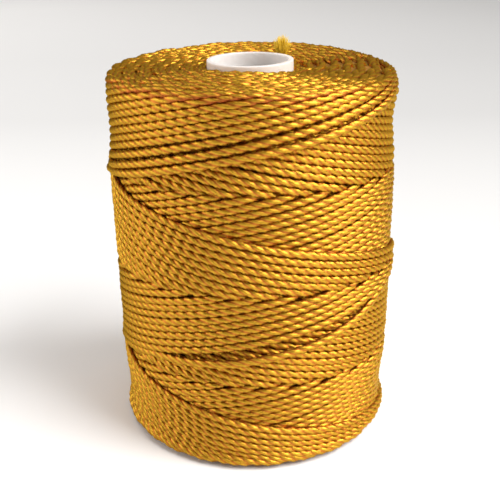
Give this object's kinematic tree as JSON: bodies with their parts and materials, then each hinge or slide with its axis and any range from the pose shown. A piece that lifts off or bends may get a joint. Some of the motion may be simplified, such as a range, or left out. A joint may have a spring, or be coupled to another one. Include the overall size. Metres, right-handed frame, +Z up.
{
  "type": "bobbin of nylon beading cord",
  "caption": "Small bobbin of twisted nylon beading cord, cross-wound in slanting bands on a plain tube, standing on its end with its frayed inner end showing.",
  "frame": {"origin": "on the table, under the middle of the core tube", "axes": "+Z up along the core tube; the picture looks along +Y, with +X to its right"},
  "size_m": [0.034, 0.0336, 0.0452],
  "materials": {
    "cord": "glossy twisted three-ply nylon filament, golden amber",
    "core_plastic": "satin white, slightly milky",
    "frayed_cord": "loose nylon filaments, paler where they stand apart"
  },
  "bodies": {
    "root": {"core": "core_plastic", "winding": "cord", "cord_end": "frayed_cord"}
  },
  "joints": []
}
